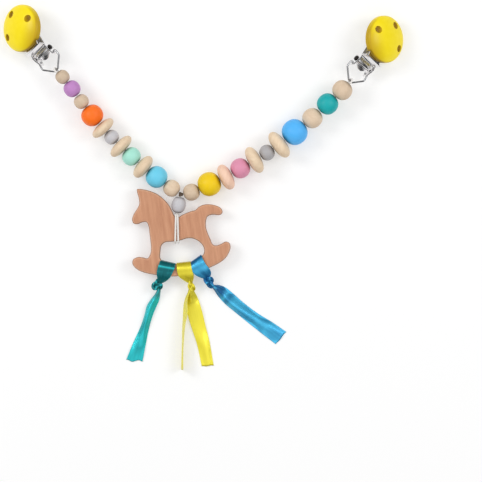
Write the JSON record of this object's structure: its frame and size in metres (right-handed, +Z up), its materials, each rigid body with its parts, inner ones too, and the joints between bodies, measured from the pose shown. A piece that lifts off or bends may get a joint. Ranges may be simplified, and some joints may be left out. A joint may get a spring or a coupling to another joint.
{
  "type": "pram chain toy",
  "caption": "Pram chain: two round wooden clips with steel jaws, a strung chain of round and lens beads in two legs, and a hanging wooden rocking horse with satin ribbons.",
  "frame": {"origin": "on the table, under the middle of the whole toy as it lies on its back", "axes": "+Z up off the table towards the viewer, +X along the line of the two clips from left to right, +Y from the horse towards the clips"},
  "size_m": [0.3044, 0.2775, 0.0264],
  "materials": {
    "clip_yellow": "glossy yellow lacquer",
    "steel": "bright nickel plate",
    "pad_plastic": "moulded, satin",
    "cord_white": "braided cord, matt",
    "wood": "pale sanded wood",
    "lens": "warm pale sanded wood",
    "horse_wood": "oiled reddish wood, sanded",
    "grey": "silicone, satin",
    "lilac": "silicone, satin",
    "orange": "silicone, satin",
    "mint": "silicone, satin",
    "light_blue": "silicone, satin",
    "yellow": "silicone, satin",
    "pink": "silicone, satin",
    "blue": "silicone, satin",
    "teal": "silicone, satin",
    "teal_ribbon": "satin ribbon",
    "yellow_ribbon": "satin ribbon",
    "blue_ribbon": "satin ribbon"
  },
  "bodies": {
    "horse": {"horse": "horse_wood", "horse_cord": "cord_white", "teal_ribbon_loop": "teal_ribbon", "yellow_ribbon_loop": "yellow_ribbon", "blue_ribbon_loop": "blue_ribbon"},
    "knot": {"knot": "cord_white"},
    "cord_left_1": {"cord_left_1": "cord_white"},
    "cord_left_2": {"cord_left_2": "cord_white"},
    "cord_left_3": {"cord_left_3": "cord_white"},
    "cord_left_4": {"cord_left_4": "cord_white"},
    "cord_left_5": {"cord_left_5": "cord_white"},
    "bail_left": {"bail_left": "steel"},
    "clip_left": {"clip_disc_left": "clip_yellow", "base_plate_left": "steel", "grip_pad_left": "pad_plastic", "rivet_left": "steel", "hinge_pin_left": "steel"},
    "lever_left": {"lever_left": "steel"},
    "bead_left_1_wood": {"bead_left_1_wood": "wood"},
    "bead_left_2_light_blue": {"bead_left_2_light_blue": "light_blue"},
    "bead_left_3_lens": {"bead_left_3_lens": "lens"},
    "bead_left_4_mint": {"bead_left_4_mint": "mint"},
    "bead_left_5_lens": {"bead_left_5_lens": "lens"},
    "bead_left_6_grey": {"bead_left_6_grey": "grey"},
    "bead_left_7_lens": {"bead_left_7_lens": "lens"},
    "bead_left_8_orange": {"bead_left_8_orange": "orange"},
    "bead_left_9_wood": {"bead_left_9_wood": "wood"},
    "bead_left_10_lilac": {"bead_left_10_lilac": "lilac"},
    "bead_left_11_wood": {"bead_left_11_wood": "wood"},
    "cord_right_1": {"cord_right_1": "cord_white"},
    "cord_right_2": {"cord_right_2": "cord_white"},
    "cord_right_3": {"cord_right_3": "cord_white"},
    "cord_right_4": {"cord_right_4": "cord_white"},
    "cord_right_5": {"cord_right_5": "cord_white"},
    "bail_right": {"bail_right": "steel"},
    "clip_right": {"clip_disc_right": "clip_yellow", "base_plate_right": "steel", "grip_pad_right": "pad_plastic", "rivet_right": "steel", "hinge_pin_right": "steel"},
    "lever_right": {"lever_right": "steel"},
    "bead_right_1_wood": {"bead_right_1_wood": "wood"},
    "bead_right_2_yellow": {"bead_right_2_yellow": "yellow"},
    "bead_right_3_lens": {"bead_right_3_lens": "lens"},
    "bead_right_4_pink": {"bead_right_4_pink": "pink"},
    "bead_right_5_lens": {"bead_right_5_lens": "lens"},
    "bead_right_6_grey": {"bead_right_6_grey": "grey"},
    "bead_right_7_lens": {"bead_right_7_lens": "lens"},
    "bead_right_8_blue": {"bead_right_8_blue": "blue"},
    "bead_right_9_wood": {"bead_right_9_wood": "wood"},
    "bead_right_10_teal": {"bead_right_10_teal": "teal"},
    "bead_right_11_wood": {"bead_right_11_wood": "wood"},
    "bead_pendant_grey": {"bead_pendant_grey": "grey"},
    "teal_tail": {"teal_tail": "teal_ribbon"},
    "yellow_tail_wide": {"yellow_tail_wide": "yellow_ribbon"},
    "yellow_tail_thin": {"yellow_tail_thin": "yellow_ribbon"},
    "blue_tail": {"blue_tail": "blue_ribbon"}
  },
  "joints": [
    {"name": "bail_left_swing", "type": "hinge", "parent": "cord_left_5", "child": "bail_left", "pos_m": [-0.11167, 0.08903, 0.01485], "axis": [-0.633, -0.5446, -0.5502], "range_deg": [-60, 60]},
    {"name": "bail_right_swing", "type": "hinge", "parent": "cord_right_5", "child": "bail_right", "pos_m": [0.11166, 0.08068, 0.01485], "axis": [-0.633, 0.5446, 0.5502], "range_deg": [-60, 60]},
    {"name": "blue_tail_lift", "type": "hinge", "parent": "horse", "child": "blue_tail", "pos_m": [0.00404, -0.07208, 0.0067], "axis": [-0.6353, -0.7723, 0], "range_deg": [-15, 60]},
    {"name": "chain_swing", "type": "hinge", "parent": "horse", "child": "knot", "pos_m": [-0.01718, -0.00517, 0.0078], "axis": [1, 0, 0], "range_deg": [-25, 25]},
    {"name": "clip_left_lever", "type": "hinge", "parent": "clip_left", "child": "lever_left", "pos_m": [-0.12156, 0.10165, 0.01374], "axis": [-0.633, -0.5446, -0.5502], "range_deg": [0, 35]},
    {"name": "clip_left_swing", "type": "hinge", "parent": "bail_left", "child": "clip_left", "pos_m": [-0.11847, 0.09896, 0.01285], "axis": [0.633, 0.5446, 0.5502], "range_deg": [-60, 60]},
    {"name": "clip_right_lever", "type": "hinge", "parent": "clip_right", "child": "lever_right", "pos_m": [0.12155, 0.09329, 0.01374], "axis": [-0.633, 0.5446, 0.5502], "range_deg": [0, 35]},
    {"name": "clip_right_swing", "type": "hinge", "parent": "bail_right", "child": "clip_right", "pos_m": [0.11846, 0.09061, 0.01285], "axis": [0.633, -0.5446, -0.5502], "range_deg": [-60, 60]},
    {"name": "cord_left_2_bend", "type": "hinge", "parent": "cord_left_1", "child": "cord_left_2", "pos_m": [-0.04964, 0.0189, 0.00987], "axis": [-0.0411, 0.0374, 0.9985], "range_deg": [-12, 12]},
    {"name": "cord_left_3_lift", "type": "hinge", "parent": "cord_left_2", "child": "cord_left_3", "pos_m": [-0.06581, 0.03448, 0.01017], "axis": [-0.6977, -0.7164, 0], "range_deg": [-12, 12]},
    {"name": "cord_left_4_bend", "type": "hinge", "parent": "cord_left_3", "child": "cord_left_4", "pos_m": [-0.07918, 0.04846, 0.01067], "axis": [-0.0519, 0.0608, -0.9968], "range_deg": [-12, 12]},
    {"name": "cord_left_5_lift", "type": "hinge", "parent": "cord_left_4", "child": "cord_left_5", "pos_m": [-0.09578, 0.06967, 0.01284], "axis": [0.8197, 0.5728, 0], "range_deg": [-12, 12]},
    {"name": "cord_right_2_bend", "type": "hinge", "parent": "cord_right_1", "child": "cord_right_2", "pos_m": [0.02185, 0.01047, 0.01037], "axis": [0.0443, 0.0301, 0.9986], "range_deg": [-12, 12]},
    {"name": "cord_right_3_lift", "type": "hinge", "parent": "cord_right_2", "child": "cord_right_3", "pos_m": [0.04342, 0.02356, 0.01093], "axis": [-0.4934, 0.8698, 0], "range_deg": [-12, 12]},
    {"name": "cord_right_4_bend", "type": "hinge", "parent": "cord_right_3", "child": "cord_right_4", "pos_m": [0.06202, 0.0359, 0.01121], "axis": [-0.082, -0.0721, -0.994], "range_deg": [-12, 12]},
    {"name": "cord_right_5_lift", "type": "hinge", "parent": "cord_right_4", "child": "cord_right_5", "pos_m": [0.08855, 0.05777, 0.01223], "axis": [0.7096, -0.7046, 0], "range_deg": [-12, 12]},
    {"name": "leg_left_lift", "type": "hinge", "parent": "knot", "child": "cord_left_1", "pos_m": [-0.01718, -0.00517, 0.0078], "axis": [0.544, 0.8391, 0], "range_deg": [-10, 10]},
    {"name": "leg_right_lift", "type": "hinge", "parent": "knot", "child": "cord_right_1", "pos_m": [-0.01718, -0.00517, 0.0078], "axis": [0.1301, -0.9915, 0], "range_deg": [-10, 10]},
    {"name": "teal_tail_lift", "type": "hinge", "parent": "horse", "child": "teal_tail", "pos_m": [-0.03456, -0.07421, 0.0067], "axis": [-0.9758, 0.2185, 0], "range_deg": [-15, 60]},
    {"name": "yellow_tail_thin_swing", "type": "hinge", "parent": "horse", "child": "yellow_tail_thin", "pos_m": [-0.00986, -0.07573, 0.0067], "axis": [0, 0, 1], "range_deg": [-24, 0]},
    {"name": "yellow_tail_wide_lift", "type": "hinge", "parent": "horse", "child": "yellow_tail_wide", "pos_m": [-0.00986, -0.07573, 0.0067], "axis": [-0.9522, -0.3055, 0], "range_deg": [-15, 60]},
    {"name": "spin_bead_left_1_wood", "type": "hinge", "parent": "cord_left_1", "child": "bead_left_1_wood", "pos_m": [-0.0241, -0.00051, 0.00793], "axis": [-0.8158, 0.577, 0.0382], "continuous": true},
    {"name": "spin_bead_left_2_light_blue", "type": "hinge", "parent": "cord_left_1", "child": "bead_left_2_light_blue", "pos_m": [-0.03551, 0.00802, 0.00898], "axis": [-0.7997, 0.5936, 0.0901], "continuous": true},
    {"name": "spin_bead_left_3_lens", "type": "hinge", "parent": "cord_left_1", "child": "bead_left_3_lens", "pos_m": [-0.04581, 0.01569, 0.00991], "axis": [-0.7783, 0.6276, 0.0167], "continuous": true},
    {"name": "spin_bead_left_4_mint", "type": "hinge", "parent": "cord_left_2", "child": "bead_left_4_mint", "pos_m": [-0.05462, 0.0236, 0.00982], "axis": [-0.7234, 0.6899, 0.0266], "continuous": true},
    {"name": "spin_bead_left_5_lens", "type": "hinge", "parent": "cord_left_2", "child": "bead_left_5_lens", "pos_m": [-0.06255, 0.0313, 0.01036], "axis": [-0.7143, 0.6999, -0.0027], "continuous": true},
    {"name": "spin_bead_left_6_grey", "type": "hinge", "parent": "cord_left_3", "child": "bead_left_6_grey", "pos_m": [-0.06967, 0.03832, 0.00987], "axis": [-0.7066, 0.7074, -0.0169], "continuous": true},
    {"name": "spin_bead_left_7_lens", "type": "hinge", "parent": "cord_left_3", "child": "bead_left_7_lens", "pos_m": [-0.07625, 0.04517, 0.01032], "axis": [-0.6691, 0.7387, 0.0817], "continuous": true},
    {"name": "spin_bead_left_8_orange", "type": "hinge", "parent": "cord_left_4", "child": "bead_left_8_orange", "pos_m": [-0.08435, 0.05475, 0.01133], "axis": [-0.6287, 0.7735, 0.0805], "continuous": true},
    {"name": "spin_bead_left_9_wood", "type": "hinge", "parent": "cord_left_4", "child": "bead_left_9_wood", "pos_m": [-0.09255, 0.06522, 0.0124], "axis": [-0.593, 0.8012, 0.0798], "continuous": true},
    {"name": "spin_bead_left_10_lilac", "type": "hinge", "parent": "cord_left_5", "child": "bead_left_10_lilac", "pos_m": [-0.09957, 0.07489, 0.01336], "axis": [-0.5932, 0.8011, 0.0797], "continuous": true},
    {"name": "spin_bead_left_11_wood", "type": "hinge", "parent": "cord_left_5", "child": "bead_left_11_wood", "pos_m": [-0.10675, 0.08386, 0.01428], "axis": [-0.6649, 0.7427, 0.0799], "continuous": true},
    {"name": "spin_bead_right_1_wood", "type": "hinge", "parent": "cord_right_1", "child": "bead_right_1_wood", "pos_m": [-0.00906, -0.00352, 0.00828], "axis": [0.9528, 0.2962, 0.0667], "continuous": true},
    {"name": "spin_bead_right_2_yellow", "type": "hinge", "parent": "cord_right_1", "child": "bead_right_2_yellow", "pos_m": [0.00454, 0.00259, 0.00946], "axis": [0.9107, 0.4042, 0.085], "continuous": true},
    {"name": "spin_bead_right_3_lens", "type": "hinge", "parent": "cord_right_1", "child": "bead_right_3_lens", "pos_m": [0.01728, 0.00791, 0.0104], "axis": [0.8932, 0.4495, 0.0152], "continuous": true},
    {"name": "spin_bead_right_4_pink", "type": "hinge", "parent": "cord_right_2", "child": "bead_right_4_pink", "pos_m": [0.0281, 0.01459, 0.01031], "axis": [0.8444, 0.5351, 0.0246], "continuous": true},
    {"name": "spin_bead_right_5_lens", "type": "hinge", "parent": "cord_right_2", "child": "bead_right_5_lens", "pos_m": [0.03882, 0.02094, 0.01097], "axis": [0.8687, 0.4948, 0.0217], "continuous": true},
    {"name": "spin_bead_right_6_grey", "type": "hinge", "parent": "cord_right_3", "child": "bead_right_6_grey", "pos_m": [0.04842, 0.02649, 0.01089], "axis": [0.8607, 0.5084, 0.0264], "continuous": true},
    {"name": "spin_bead_right_7_lens", "type": "hinge", "parent": "cord_right_3", "child": "bead_right_7_lens", "pos_m": [0.05765, 0.03246, 0.01142], "axis": [0.8027, 0.5963, 0.0012], "continuous": true},
    {"name": "spin_bead_right_8_blue", "type": "hinge", "parent": "cord_right_4", "child": "bead_right_8_blue", "pos_m": [0.06944, 0.04211, 0.01071], "axis": [0.7806, 0.6249, -0.0137], "continuous": true},
    {"name": "spin_bead_right_9_wood", "type": "hinge", "parent": "cord_right_4", "child": "bead_right_9_wood", "pos_m": [0.08284, 0.05262, 0.0116], "axis": [0.7582, 0.6464, 0.0855], "continuous": true},
    {"name": "spin_bead_right_10_teal", "type": "hinge", "parent": "cord_right_5", "child": "bead_right_10_teal", "pos_m": [0.09438, 0.06339, 0.01289], "axis": [0.7282, 0.6806, 0.0802], "continuous": true},
    {"name": "spin_bead_right_11_wood", "type": "hinge", "parent": "cord_right_5", "child": "bead_right_11_wood", "pos_m": [0.1055, 0.0738, 0.01411], "axis": [0.694, 0.7155, 0.08], "continuous": true},
    {"name": "spin_bead_pendant_grey", "type": "hinge", "parent": "horse", "child": "bead_pendant_grey", "pos_m": [-0.01878, -0.01314, 0.0072], "axis": [-0.1966, -0.9778, -0.0729], "continuous": true}
  ]
}
